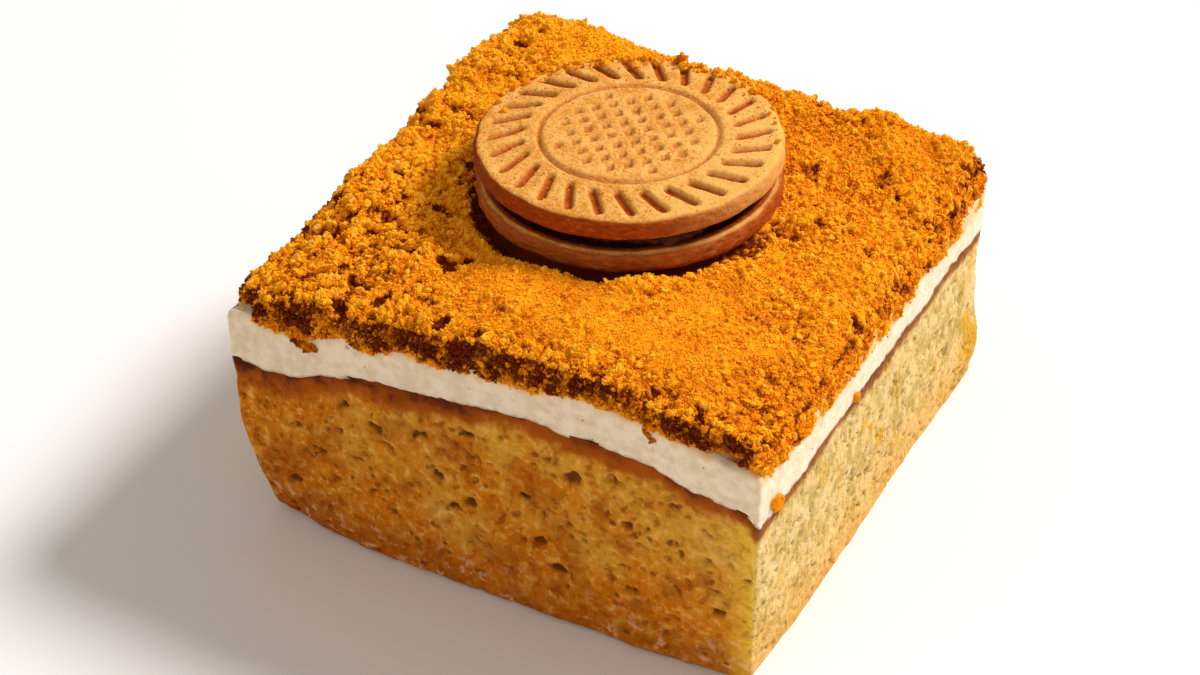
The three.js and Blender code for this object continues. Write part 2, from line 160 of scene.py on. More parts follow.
def drum(x, y, z, low, high):
    """A closed drum with its side at a grid of places and the middles of its ends at two heights:
    its mesh, the points of its vertices and where in the grid each of them is."""
    rows, columns = z.shape[0] - 1, z.shape[1]
    bm = bmesh.new()
    bmesh.ops.create_cone(
        bm, cap_ends=True, cap_tris=False, segments=columns, radius1=1, radius2=1, depth=1
    )
    uprights = [edge for edge in bm.edges if abs(edge.verts[0].co.z - edge.verts[1].co.z) > 0.5]
    bmesh.ops.subdivide_edges(bm, edges=uprights, cuts=rows - 1, use_grid_fill=True)
    bmesh.ops.poke(bm, faces=[face for face in bm.faces if len(face.verts) > 4])
    mesh = as_mesh(bm, "drum")
    u, v, up = vertices_of(mesh).T
    column = np.rint(np.arctan2(v, u) / (2 * np.pi) * columns).astype(int) % columns
    row = np.rint((up + 0.5) * rows).astype(int)
    points = np.stack([grid[row, column] for grid in (x, y, z)], -1)
    middle = np.hypot(u, v) < 0.5
    points[middle & (up < 0)] = 0, 0, low
    points[middle & (up > 0)] = 0, 0, high
    return mesh, points, (row, column)


def vertices_of(mesh):
    flat = np.empty(len(mesh.vertices) * 3)
    mesh.vertices.foreach_get("co", flat)
    return flat.reshape(-1, 3)


def shown(name, data):
    """A new object in the scene that shows a mesh, a lamp or a camera."""
    made = bpy.data.objects.new(name, data)
    bpy.context.scene.collection.objects.link(made)
    return made


def add_piece(name, mesh, points, material, smooth=True, marks=None):
    """Shows a mesh as a piece of the cake, with its vertices at the points and a named number for
    each vertex from marks."""
    mesh.name = name
    mesh.vertices.foreach_set("co", ((points + MIDDLE) * MM).ravel())
    mesh.polygons.foreach_set("use_smooth", np.full(len(mesh.polygons), smooth))
    for mark, values in (marks or {}).items():
        mesh.attributes.new(mark, "FLOAT", "POINT").data.foreach_set("value", values)
    mesh.materials.append(material)
    mesh.update()
    piece = shown(name, mesh)
    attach(piece, "root")
    return piece


class Wire:
    """A socket in a material's nodes. Sums with it add Math nodes, and made adds any other node."""

    def __init__(self, socket):
        self.socket = socket

    def made(self, kind, sockets, output=0, **settings):
        """A new node of a kind, with its settings and the values or links of its sockets."""
        tree = self.socket.id_data
        node = tree.nodes.new("ShaderNode" + kind)
        for setting, value in settings.items():
            setattr(node, setting, value)
        for key, value in sockets.items():
            if isinstance(value, Wire):
                tree.links.new(value.socket, node.inputs[key])
            else:
                node.inputs[key].default_value = value
        return Wire(node.outputs[output])

    def sum(self, operation, *values):
        return self.made("Math", dict(enumerate(values)), operation=operation)

    def __add__(self, other):
        return self.sum("ADD", self, other)

    def __sub__(self, other):
        return self.sum("SUBTRACT", self, other)

    def __rsub__(self, other):
        return self.sum("SUBTRACT", other, self)

    def __mul__(self, other):
        return self.sum("MULTIPLY", self, other)

    def __truediv__(self, other):
        return self.sum("DIVIDE", self, other)

    __radd__ = __add__
    __rmul__ = __mul__

    def step(self, start, end):
        """From 0 at start to 1 at end, smoothly."""
        span = {"Value": self, "From Min": start, "From Max": end}
        return self.made("MapRange", span, interpolation_type="SMOOTHSTEP")

    def cloud(self, width, detail=2.0, shift=0.0):
        """Noise of 0 to 1 at this place, with swellings of a width in millimetres."""
        place = self.made("VectorMath", {0: self, 1: (shift, shift, shift)}, operation="ADD")
        return place.made("TexNoise", {"Vector": place, "Scale": 1 / (width * MM), "Detail": detail})

    def over(self, below, above):
        """One colour below another, which shows by this share."""
        # Sockets 6 and 7, and output 2, are the Mix node's colours.
        return self.made("Mix", {0: self, 6: below, 7: above}, output=2, data_type="RGBA")


def tone(red, green, blue):
    """A colour as a screen shows it, from 0 to 255, as the shader takes it."""
    return *(((c / 255 + 0.055) / 1.055) ** 2.4 for c in (red, green, blue)), 1.0


def begin_material(name, **fixed):
    """A new material with its fixed values set, its shader, and the place on the cake as a Wire."""
    made = bpy.data.materials.new(name)
    made.use_nodes = True
    shader = made.node_tree.nodes["Principled BSDF"]
    for key, value in fixed.items():
        shader.inputs[key.replace("_", " ")].default_value = value
    place = made.node_tree.nodes.new("ShaderNodeTexCoord").outputs["Object"]
    return made, shader, Wire(place)


def mark(wire, name):
    """The number that a piece's vertices carry under a name."""
    return wire.made("Attribute", {}, output=2, attribute_name=name)


def finish_material(shader, colour, roughness, height, relief):
    """Joins up a shader. height is a Wire of about 0 to 1, and relief its depth in millimetres."""
    links = shader.id_data.links
    links.new(colour.socket, shader.inputs["Base Color"])
    links.new(roughness.socket, shader.inputs["Roughness"])
    bump = height.made("Bump", {"Height": height, "Distance": relief * MM, "Strength": 1.0})
    links.new(bump.socket, shader.inputs["Normal"])


# Dry crumb, soaked crumb, the browned top, the painted glow of the thin front edge, painted shade
# in the pores and painted glints on the foot.
CRUMB_PALE = tone(228, 197, 130)
CRUMB_OLIVE = tone(193, 165, 90)
CRUMB_FLECK = tone(243, 220, 164)
CRUMB_GOLDEN = tone(216, 164, 40)
CRUMB_PEACH = tone(230, 180, 92)
EDGE_GLOW_GOLD = tone(255, 212, 72)
SOAKED_TAN = tone(217, 156, 46)
SOAKED_AMBER = tone(210, 120, 2)
SOAKED_FLECK = tone(238, 188, 84)
SOAKED_DARK = tone(156, 74, 2)
PORE_SHADE_OLIVE = tone(164, 138, 70)
PORE_SHADE_BROWN = tone(118, 64, 8)
CRUST_DARK = tone(88, 34, 2)
CRUST_BROWN = tone(170, 82, 8)
CRUST_PALE = tone(150, 92, 42)
PAINTED_GLINT_PINK = tone(250, 200, 160)


def sponge_material():
    made, shader, place = begin_material(
        "soaked_sponge", Subsurface_Weight=0.2, Subsurface_Radius=(1.0, 0.45, 0.15),
        Subsurface_Scale=0.0015, Specular_IOR_Level=0.08,
    )
    up = place.made("SeparateXYZ", {0: place}, output=2)
    pore, under, soaked = (mark(place, name) for name in ("pore_depth", "under_top", "soaked"))
    fine = place.cloud(0.8, 3.0, 0.9)
    network = place.cloud(1.7, 3.0, 0.6)
    cells = place.made("TexVoronoi", {"Vector": place, "Scale": 1 / (1.7 * MM)})
    holes = (1 - (cells + fine * 0.3).step(0.28, 0.52)) * place.cloud(3.5, 2.0, 0.8).step(0.45, 0.65)

    # Dry crumb, in pale and olive patches.
    pale = (place.cloud(5.0, 3.0) * 0.7 + network * 0.3).step(0.4, 0.58).over(CRUMB_OLIVE, CRUMB_PALE)
    pale = (fine.step(0.5, 0.75) * 0.25 + network.step(0.52, 0.66) * 0.35).over(pale, CRUMB_FLECK)
    pale = (place.cloud(5.0, 2.0, 0.15).step(0.56, 0.7) * 0.5).over(pale, CRUMB_GOLDEN)
    pale = ((1 - up.step(0.003, 0.014)) * 0.5).over(pale, CRUMB_PEACH)
    pale = (mark(place, "golden") * 0.9).over(pale, CRUMB_GOLDEN)

    # Soaked crumb, more amber the deeper and wetter it is.
    depth = place.cloud(7.0, 4.0, 0.3) * 0.65 + network * 0.2 + (1 - up.step(0.006, 0.030)) * 0.15
    amber = (depth + (soaked - 0.95) * 0.6).step(0.3, 0.62).over(SOAKED_TAN, SOAKED_AMBER)
    amber = (network.step(0.5, 0.7) * 0.6 + fine.step(0.54, 0.7) * 0.5).over(amber, SOAKED_FLECK)
    amber = ((1 - network.step(0.3, 0.48)) * 0.75).over(amber, SOAKED_DARK)
    drenched = (place.cloud(6.0, 3.0, 0.75) + (soaked - 1.0) * 0.4).step(0.5, 0.62)
    amber = (drenched * 0.42).over(amber, SOAKED_DARK)
    wetness = (soaked + (place.cloud(5.0, 3.0, 0.5) - 0.5) * 0.5).step(0.15, 0.85)

    # The two together, with a painted glow along the thin front edge, painted shade in the pores and a
    # darker foot with painted glints.
    colour = wetness.over(pale, amber)
    # A painted glow along the thin front edge, where light shines through the crumb.
    colour = (mark(place, "painted_edge_glow") * 0.95).over(colour, EDGE_GLOW_GOLD)
    # Painted shade in the pores, darker the deeper the pore, and in the small holes between them.
    dark = pore.step(0.06, 1.0) * 0.9 + holes * (0.2 + wetness * 0.5)
    colour = dark.step(0.0, 1.0).over(colour, wetness.over(PORE_SHADE_OLIVE, PORE_SHADE_BROWN))
    low = (1 - up.step(0.001, 0.010)) * soaked
    # Painted glints: pale pink highlights on the wet foot of the soaked sides.
    painted_glint = (1 - up.step(0.003, 0.011)) * soaked * place.cloud(1.6, 4.0, 0.2).step(0.56, 0.68)
    colour = (low * 0.38).over(colour, SOAKED_DARK)
    colour = (painted_glint * 0.45).over(colour, PAINTED_GLINT_PINK)

    # The browned top, burnt in places, with a ragged lower edge.
    ragged = under * (1.6 - soaked * 0.7) + (place.cloud(2.4, 4.0, 0.1) - 0.5) * 4.0
    ragged = ragged + (place.cloud(9.0, 2.0, 0.9) - 0.5) * 3.0
    colour = (1 - ragged.step(1.6, 3.8)).over(colour, soaked.step(0.2, 0.7).over(CRUST_PALE, CRUST_BROWN))
    burnt = (1 - ragged.step(-0.2, 1.9)) * (0.5 + place.cloud(5.0, 3.0, 0.35).step(0.42, 0.56) * 0.5)
    colour = (burnt * (0.4 + soaked * 0.6)).over(colour, CRUST_DARK)

    roughness = 0.85 - wetness * place.cloud(3.5, 2.0, 0.2).step(0.45, 0.7) * 0.25 - painted_glint * 0.4
    grain = fine + place.cloud(0.3, 3.0) * 0.5 + network * 1.2 - holes
    finish_material(shader, colour, roughness, grain, 0.3)
    return made


def press_pore(depth, around, z, column, level, radius, dice):
    """Presses one pore of random shape into a map of depths over the cut sides."""
    pitch = ROUND / SPONGE_COLUMNS
    reach = int(PORE_REACH * radius / pitch) + 3
    columns = np.arange(column - reach, column + reach) % SPONGE_COLUMNS
    rows = np.abs(z[:, column] - level) < PORE_REACH * radius + 1
    window = np.ix_(rows, columns)
    across = (around[window] - column * pitch + ROUND / 2) % ROUND - ROUND / 2
    across, up = turned(across, z[window] - level, dice.uniform(-0.7, 0.7))
    stretch = dice.uniform(0.95, 1.6)
    share = 1 - (across / radius / stretch) ** 2 - (up * stretch / radius) ** 2
    pit = radius * dice.uniform(0.8, 1.2) * np.clip(share, 0, 1) ** 0.8
    depth[window] = np.maximum(depth[window], pit)


ROUND = 8 * HALF - (8 - 2 * np.pi) * CORNER_RADIUS
PORE_REACH = 1.9
# The largest pores of the front side, as (x, depth below the sponge's top, radius).
PORES = ((-25.2, 6.4, 0.8), (-23.0, 4.1, 0.8), (-18.6, 4.9, 0.6), (-18.0, 6.9, 1.2), (-15.5, 9.9, 1.0),
         (-10.5, 6.2, 1.2), (-3.9, 4.0, 0.8), (-3.3, 10.8, 0.7), (-1.3, 8.2, 0.9), (3.6, 8.1, 0.7),
         (5.6, 12.9, 1.0), (9.5, 4.9, 0.8), (12.8, 6.9, 1.3), (18.4, 10.6, 0.7), (18.9, 4.3, 0.7),
         (20.9, 11.4, 0.9), (-11.1, 14.7, 0.8), (-5.5, 17.4, 1.0), (7.8, 19.6, 1.1), (28.6, 18.4, 0.9),
         (34.4, 18.6, 1.0), (18.9, 21.7, 0.8), (-21.4, 13.1, 0.8), (-34.1, 19.5, 1.2), (10.4, 23.5, 1.2))
# All the other pores, as (number, smallest radius, largest radius).
SMALL_PORES = ((60, 0.7, 1.0), (420, 0.45, 0.75), (2400, 0.3, 0.5))
# Yellower patches on the right side, as (y, z, radius).
GOLDEN_PATCHES = ((-4.7, 20.5, 1.3), (-1.8, 17.5, 1.1), (2.5, 13.5, 1.8), (38, 8, 4.5), (36, 13, 2.5))
# How wet the front, right, back and left sides are.
SIDE_WETNESS = (0.95, 0.1, 0.5, 0.75)

dice = np.random.default_rng(27)
share, level = side_grid(SPONGE_COLUMNS, SPONGE_ROWS)
x, y, out_x, out_y = cut_outline(share)
top = seam(x, y) + SEAM_LAP
z = level * top
side = np.stack([x, y, z], -1)

# The pores, pressed in from the largest to the smallest, and the crumb between them.
pore_depth = np.zeros_like(z)
warped_x = share * ROUND + 0.45 * unevenness(side, 1.3, 1)
warped_z = z + 0.45 * unevenness(side, 1.3, 2)
for at_x, below, radius in PORES:
    column = int((at_x + HALF) / ROUND * SPONGE_COLUMNS)
    press_pore(pore_depth, warped_x, warped_z, column, sponge_top(at_x, -HALF) - below, radius, dice)
for count, smallest, largest in SMALL_PORES:
    for _ in range(count):
        radius = smallest + (largest - smallest) * dice.random() ** 1.5
        column, at_z = dice.integers(SPONGE_COLUMNS), dice.uniform(1.5, SPONGE_HEIGHT + 3)
        press_pore(pore_depth, warped_x, warped_z, column, at_z, radius, dice)
crumbly = 0.55 * unevenness(side, 1.9, 4) + 0.45 * unevenness(side, 0.95, 5)
pore_depth += 0.4 * np.clip(crumbly - 0.15, 0, 0.8)
pore_depth *= smooth_step(top - z, 1.0, 3.0)

# How far in the cut sides lie: pores, waves of the knife and the rounded foot.
inset = pore_depth + 0.25 * (1 + unevenness(side, 9, 6)) - 0.12 * unevenness(side, 3.2, 7)
inset += BASE_ROUNDING * np.clip(1 - z / (1.6 * BASE_ROUNDING), 0, 1) ** 2

# How wet the crumb is, from 0 to about 1, where a painted glow lights the thin front edge, and
# where it is yellower.
facing = np.clip([-out_y, out_x, out_y, -out_x], 0, 1) ** 2
soaked = np.tensordot(SIDE_WETNESS, facing, 1) + 0.25 * np.clip(1 - z / 12, 0, 1)
soaked += 0.2 * unevenness(side, 9, 8)
soaked += np.clip(-out_y, 0, 1) * (0.3 * smooth_step(-x, 10, 36) - 0.2 * smooth_step(x, 20, 40))
painted_edge_glow = np.exp(-np.hypot(HALF - x, y + HALF) / 2.2) * smooth_step(-y, HALF - 0.6, HALF - 0.1)
golden = np.zeros_like(z)
for at_y, at_z, radius in GOLDEN_PATCHES:
    away = np.hypot(np.hypot(x - HALF, y - at_y), z - at_z) + 0.5 * unevenness(side, 2, 9)
    golden = np.maximum(golden, smooth_step(-away / radius, -1.2, -0.4))

# The bulge low on the back right corner, and the worn corners of the front side.
x, y = x - out_x * inset, y - out_y * inset
from_bulge = np.hypot(np.hypot(x - HALF, y - HALF), z - BULGE_HEIGHT)
swell = BULGE_OUT * np.exp(-((from_bulge / BULGE_REACH) ** 2))
x, y = x + swell, y + swell
for way, worn, reach, height in WORN_CORNERS:
    near = np.exp(-((np.hypot(x - way * HALF, y + HALF) / reach) ** 2))
    drawn_in = worn * near * np.clip(1 - z / height, 0, 1) ** 1.6
    x, y = x - way * drawn_in, y + drawn_in

mesh, points, at = drum(x, y, z, 0, sponge_top(0, 0))
sponge = add_piece(
    "soaked_sponge", mesh, points, sponge_material(),
    marks={
        "pore_depth": pore_depth[at], "under_top": (top - z)[at] - SEAM_LAP, "soaked": soaked[at],
        "painted_edge_glow": painted_edge_glow[at], "golden": golden[at],
    },
)
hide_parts("sponge")


# --- Cream ------------------------------------------------------------------------------
# A layer of whipped cream, spread over the whole tray and cut with it. The knife has left its cut
# sides nearly smooth, with faint drag lines, a few burst bubbles and a soft upper edge.

CREAM_TOP = 35.7
CREAM_SHOULDER = 1.1
CREAM_LEDGE = 7.0
CREAM_COLUMNS, CREAM_ROWS = 800, 44
CREAM_RIDGE = 0.32  # the share of the sponge's ridge that still shows on the cream's top
# How far the crumbs hang over the cream, along x at the front and along y on the right.
FRONT_HANG = np.array((
    (-41, -1.8), (-37.5, -1.5), (-36, 0.3), (-32, 1.6), (-28, 2.0), (-24, 0.8), (-21, 0.5), (-18, 2.3),
    (-12, 1.2), (-5, 2.1), (9, 1.9), (13, 0.8), (18, 0.5), (22, 0.3), (33, 0.3), (37, -0.9), (39, -0.3),
)).T
RIGHT_HANG = np.array((
    (-41, 0.0), (-38, 0.8), (-34, 1.3), (-25, 2.2), (-15, 2.6), (-8, 2.4), (0, 2.7), (10, 2.3), (15, 1.6),
    (22, 2.6), (32, 3.0), (41, 2.2),
)).T
HANG, HANG_VARIES = 1.5, 0.9
BARE_CORNER = 2.6  # how much further back the crumbs begin at the front left corner
CREAM_WHITE = tone(247, 230, 202)
CREAM_SHADE = tone(220, 199, 160)
CREAM_STAIN = tone(232, 180, 96)
SPECK_OLIVE = tone(132, 104, 62)


def cream_top(x, y):
    return CREAM_TOP + rise(x, y) + CREAM_RIDGE * ridge(x, y)


def crumb_hang(x, y):
    """How far the crumbs hang over the cream's edge, or, below 0, how far behind it they begin."""
    where = np.stack([x, y, 0 * x], -1)
    hang = HANG + HANG_VARIES * unevenness(where, 6, 31)
    hang -= BARE_CORNER * smooth_step(-x - y, 2 * HALF - 5, 2 * HALF - 2.5)
    return by_side(x, y, FRONT_HANG, RIGHT_HANG, hang) + 0.3 * unevenness(where, 1.5, 32)


def cream_material():
    made, shader, place = begin_material(
        "whipped_cream", Subsurface_Weight=0.25, Subsurface_Radius=(1.0, 0.75, 0.5),
        Subsurface_Scale=0.0015, Specular_IOR_Level=0.4,
    )
    under_crumbs, from_sponge = mark(place, "under_crumbs"), mark(place, "from_sponge")
    mottle = place.cloud(1.3, 4.0, 0.1) * 0.6 + place.cloud(4.0, 2.0, 0.5) * 0.4
    colour = (mottle.step(0.38, 0.62) * 0.65).over(CREAM_WHITE, CREAM_SHADE)
    specks = place.made("TexVoronoi", {"Vector": place, "Scale": 1 / (6.5 * MM)})
    size = place.cloud(9.0, 1.0, 0.4).step(0.45, 0.8) * 0.11 + 0.02
    colour = ((1 - (specks / size).step(0.4, 1.2)) * 0.6).over(colour, SPECK_OLIVE)
    dusted = 1 - (under_crumbs + place.cloud(1.4, 3.0) * 1.8).step(0.6, 2.4)
    colour = (dusted * 0.7).over(colour, CREAM_STAIN)
    stained = 1 - (from_sponge + place.cloud(1.0, 2.0) * 0.8).step(0.3, 0.9)
    colour = (stained * 0.6).over(colour, CRUST_BROWN)
    roughness = 0.5 + place.cloud(2.0, 2.0) * 0.2
    grain = place.cloud(0.9, 3.0) + place.cloud(0.3, 2.0) * 0.35
    finish_material(shader, colour, roughness, grain, 0.14)
    return made


# The rows go up the side to SIDE_END, round the shoulder to SHOULDER_END and in along a ledge.
SIDE_END, SHOULDER_END = 0.6, 0.78
share, level = side_grid(CREAM_COLUMNS, CREAM_ROWS)
up_side = np.clip(level / SIDE_END, 0, 1)
bend = np.clip((level - SIDE_END) / (SHOULDER_END - SIDE_END), 0, 1) * np.pi / 2
ledge = np.clip((level - SHOULDER_END) / (1 - SHOULDER_END), 0, 1)
x, y, out_x, out_y = cut_outline(share)
inset = CREAM_SHOULDER * (1 - np.cos(bend)) + CREAM_LEDGE * ledge
lower = seam(x[0], y[0])
hang = crumb_hang(x[0], y[0])
x, y = x - out_x * inset, y - out_y * inset
upper = cream_top(x, y) - CREAM_SHOULDER
z = lower + (upper - lower) * up_side + CREAM_SHOULDER * np.sin(bend)

# Drag lines of the knife, burst bubbles and a wavy shoulder.
side = np.stack([x, y, z], -1)
streaks = side * (0.12, 0.12, 1.0)
drag = 0.16 * unevenness(side, 7, 13) + 0.07 * unevenness(streaks, 0.7, 14)
drag += 0.05 * unevenness(side, 1.1, 15)
pits = 0.35 * np.clip(unevenness(side, 1.5, 16) - 0.55, 0, 1)
proud = drag - pits - 0.13
x, y = x + out_x * proud, y + out_y * proud
z = z + np.sin(bend) * 0.25 * unevenness(side, 2.5, 17)

mesh, points, at = drum(x, y, z, sponge_top(0, 0), cream_top(0, 0))
under_crumbs = cream_top(x, y) - hang - z
cream = add_piece(
    "whipped_cream", mesh, points, cream_material(),
    marks={"under_crumbs": under_crumbs[at], "from_sponge": (z - lower)[at]},
)
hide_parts("cream")


# --- Crumb bed --------------------------------------------------------------------------
# Crushed caramel biscuits, strewn thickly over the cream while it was soft. The crumbs cling to
# each other in lumps with cracks between them, painted dark as shade, and hang over the cream's
# edge in places.

CRUMB_DEPTH, EDGE_DEPTH = 3.9, 0.9
BED_CELLS, WALL_ROWS = 256, 6
BED_SETBACK = 0.75  # how far in from the cut sides the top of the bed ends
CHIPS = 9000
# Where the crumbs lie thicker or thinner, as (x, y, height, radius).
HEAPS = ((-31, 35, 5.1, 11), (-37, 22, 3.9, 8), (-37, 9, 2.4, 15), (-38, -9, 1.8, 7), (-38, -22, -2.4, 5),
         (-20, 38, 1.7, 7), (-8, 34, 1.1, 6), (9, 38, 0.6, 5), (25, 39, 1.6, 5), (31, 36, 2.6, 9),
         (39, 39, 1.4, 5))
# Hollows among the lumps, painted dark as shade, as (x, y, radius).
HOLLOW_DEPTH = 0.9
HOLLOWS = ((-13.5, -25.3, 1.8), (-11.5, -23.5, 1.5), (-38, -15.6, 1.8), (17.4, 18.3, 1.9), (20.5, 20, 1.4),
           (29.7, 24.6, 1.8), (33, 23, 1.2), (40, -7.7, 1.5), (27, 9, 1.2), (34, 8, 1.0), (-24, -33, 1.6),
           (-17, -36, 1.6), (-7, -38, 1.5), (24.0, -39, 1.5), (31.0, -38.5, 1.6))
BISCUIT_RADIUS = 22
BISCUIT_X, BISCUIT_Y, BISCUIT_BED = -0.3, 2.9, 3.1
LEAN_BACK, LEAN_SIDE = math.radians(2.6), math.radians(0.6)
MOAT_DEPTH = 2.1
# Where the crumbs are lighter or darker, as (x, y, tone, radius).
TINTS = ((-31, -2, 0.12, 12), (-24, -32, -0.1, 14), (34, 8, 0.1, 18))
BISCUIT_PEACH_AND_HIGHLIGHT = tone(255, 204, 124)
BISCUIT_GOLD = tone(255, 186, 30)
BISCUIT_ORANGE = tone(238, 142, 10)
BISCUIT_RUST_AND_SHADE = tone(112, 38, 1)


def crumb_material():
    made, shader, place = begin_material("caramel_crumbs", Specular_IOR_Level=0.08)
    kind = mark(place, "tone")
    mottle = place.cloud(0.5, 3.0)
    lumps = place.cloud(6.0, 3.0, 0.6)
    patches = place.cloud(2.0, 3.0, 0.3).step(0.52, 0.68)
    # The tone mark carries the crumbs' own tones and the bed's painted light and shade: the rust is also
    # painted shade in the cracks, and the peach partly a painted highlight on the tops of lumps.
    light = kind + (mottle - 0.5) * 0.5 + (lumps - 0.5) * 0.35 - patches * 0.2
    colour = light.step(0.25, 0.8).over(BISCUIT_ORANGE, BISCUIT_GOLD)
    colour = (light.step(0.85, 1.2) * 0.3).over(colour, BISCUIT_PEACH_AND_HIGHLIGHT)
    colour = (1 - light.step(-0.1, 0.32)).over(colour, BISCUIT_RUST_AND_SHADE)
    roughness = 0.75 + mottle * 0.2
    grain = place.cloud(0.35, 3.0) + place.cloud(0.15, 1.0) * 0.5
    finish_material(shader, colour, roughness, grain, 0.14)
    return made


def biscuit_plane(x, y):
    """Height of the plane that the biscuit's underside lies in."""
    foot = CREAM_TOP + rise(BISCUIT_X, BISCUIT_Y) + BISCUIT_BED
    return foot + (y - BISCUIT_Y) * math.tan(LEAN_BACK) - (x - BISCUIT_X) * math.tan(LEAN_SIDE)


def from_biscuit(x, y):
    return np.hypot(x - BISCUIT_X, y - BISCUIT_Y) - BISCUIT_RADIUS


def bed_edge(u, v):
    """The place on the cake's upper edge that is nearest in the same direction as u and v."""
    far = np.maximum(np.maximum(np.abs(u), np.abs(v)), 1e-6)
    return u / far * HALF, v / far * HALF


def bed_plan(u, v):
    """Places of the bed's ragged plan for u and v from -1 to 1."""
    edge = bed_edge(u, v)
    setback = BED_SETBACK + 1.1 * np.clip(-crumb_hang(*edge), 0, None)
    setback += 0.35 * unevenness(np.stack([*edge, 0 * u], -1), 2.2, 22)
    setback *= np.maximum(np.abs(u), np.abs(v)) ** 12
    size = (HALF - setback) * (1 - 0.008 * (u * v) ** 6)
    return u * size, v * size


def grid_with_wall(cells, rows):
    """A square grid with a wall hanging from its edge, row under row, closed below to one vertex."""
    bm = bmesh.new()
    bmesh.ops.create_grid(bm, x_segments=cells, y_segments=cells, size=1)
    rim = [edge for edge in bm.edges if edge.is_boundary]
    for _ in range(rows):
        hung = bmesh.ops.extrude_edge_only(bm, edges=rim)["geom"]
        rim = [part for part in hung if isinstance(part, bmesh.types.BMEdge) and part.is_boundary]
    closed = bmesh.ops.contextual_create(bm, geom=rim)["faces"]
    bmesh.ops.poke(bm, faces=closed)
    bmesh.ops.recalc_face_normals(bm, faces=bm.faces)
    return as_mesh(bm, "bed")


def blurred(grid, times):
    """A grid of heights, evened out over as many cells."""
    for _ in range(times):
        wide = np.pad(grid, 1, mode="edge")
        grid = (wide[:-2, 1:-1] + wide[2:, 1:-1] + wide[1:-1, :-2] + wide[1:-1, 2:] + grid) / 5
    return grid


def spot(at_x, at_y, radius):
    """1 at one place on the bed, fading to 0 round it."""
    return np.exp(-((bed_x - at_x) ** 2 + (bed_y - at_y) ** 2) / radius**2)


across = np.linspace(-1, 1, BED_CELLS + 1)
bed_u, bed_v = np.meshgrid(across, across)
bed_x, bed_y = bed_plan(bed_u, bed_v)
flat = np.stack([bed_x, bed_y, 0 * bed_x], -1)
to_edge = np.clip(HALF - np.maximum(np.abs(bed_x), np.abs(bed_y)), 0, None)

# How coarse the crumbs are, from 0 to 1: coarsest on the left and at the edges.
fine_area = np.exp(-(((bed_x - 14) / 22) ** 2 + ((bed_y + 27) / 9) ** 2))
coarse = 0.4 + 0.5 * smooth_step(-bed_x, 8, 34) + 0.35 * np.exp(-to_edge / 2.5)
coarse -= 0.4 * spot(-28, 28, 18)
coarse = np.clip(coarse + 0.3 * unevenness(flat, 9, 28) - 0.55 * fine_area, 0.08, 1)

# The heaps, thinning out towards the edges.
depth = CRUMB_DEPTH - 0.6 + unevenness(flat, 8, 23) + 0.75 * coarse * unevenness(flat, 3.4, 24)
for at_x, at_y, height, radius in HEAPS:
    depth += height * spot(at_x, at_y, radius)
depth *= 1 - 0.4 * smooth_step(-bed_x - bed_y, 2 * HALF - 13, 2 * HALF - 4)
full = 1 - np.exp(-(to_edge + 0.3) / 1.5)
bed_z = cream_top(bed_x, bed_y) + EDGE_DEPTH + (depth - EDGE_DEPTH) * full

# Hollows among the lumps, and a moat that leaves the biscuit's front edge free.
hollow = smooth_step(unevenness(flat * (0.6, 1.0, 1.0), 2.6, 29), 0.42, 0.85) * coarse
for at_x, at_y, radius in HOLLOWS:
    gap = np.hypot(bed_x - at_x, bed_y - at_y) + 1.3 * unevenness(flat, 1.8, 30)
    hollow = np.maximum(hollow, smooth_step(-gap / radius, -1.15, -0.5))
hollow *= 1 - 0.45 * smooth_step(bed_x, 4, 20)
bed_z -= HOLLOW_DEPTH * hollow
outside = from_biscuit(bed_x, bed_y)
aside = smooth_step(np.abs(bed_x + 1), 8, 20)
moat = smooth_step(outside, -4.0, -1.0) * (1 - smooth_step(outside / (3.4 - 1.6 * aside), 0.2, 1))
moat *= smooth_step(BISCUIT_Y + 6 - bed_y, 0, 14) * (1 - 0.6 * aside)
bed_z -= MOAT_DEPTH * moat

# Chips of biscuit with flat, tilted tops, each only where it stands above what is there.
dice = np.random.default_rng(81)
pitch = 2 * HALF / BED_CELLS
base_z, chip_tone = bed_z.copy(), np.zeros_like(bed_z)
for _ in range(CHIPS):
    i, j = dice.integers(BED_CELLS + 1, size=2)
    radius = (0.38 + 0.72 * dice.random() ** 2.5) * (0.4 + 0.7 * coarse[j, i]) * (1 - 0.6 * hollow[j, i])
    reach = int(1.3 * radius / pitch) + 1
    window = slice(max(0, j - reach), j + reach + 1), slice(max(0, i - reach), i + reach + 1)
    u, v = turned(bed_x[window] - bed_x[j, i], bed_y[window] - bed_y[j, i], dice.uniform(0, math.pi))
    away = np.maximum(np.abs(u) * dice.uniform(1, 1.6), np.abs(v)) * 0.6 + np.hypot(u, v) * 0.4
    tilt_u, tilt_v, lift = dice.uniform(-0.5, 0.5, 3)
    chip = base_z[j, i] + radius * (0.45 + 0.6 * lift) + tilt_u * u + tilt_v * v
    chip = chip - 2.0 * np.clip(away - 0.7 * radius, 0, None) - 9.0 * (away > radius)
    chip_tone[window] = np.where(chip > bed_z[window], dice.uniform(-0.15, 0.2), chip_tone[window])
    bed_z[window] = np.maximum(bed_z[window], chip)
bed = np.stack([bed_x, bed_y, bed_z], -1)
bed_z += (0.08 + 0.14 * coarse) * unevenness(bed, 0.9, 25) + 0.08 * unevenness(bed, 0.5, 26)
ceiling = biscuit_plane(bed_x, bed_y) - 0.3 - MOAT_DEPTH * moat + 1.1 * np.clip(outside - 0.2, 0, None)
bed_z = np.maximum(np.minimum(bed_z, ceiling), cream_top(bed_x, bed_y) + 0.3)

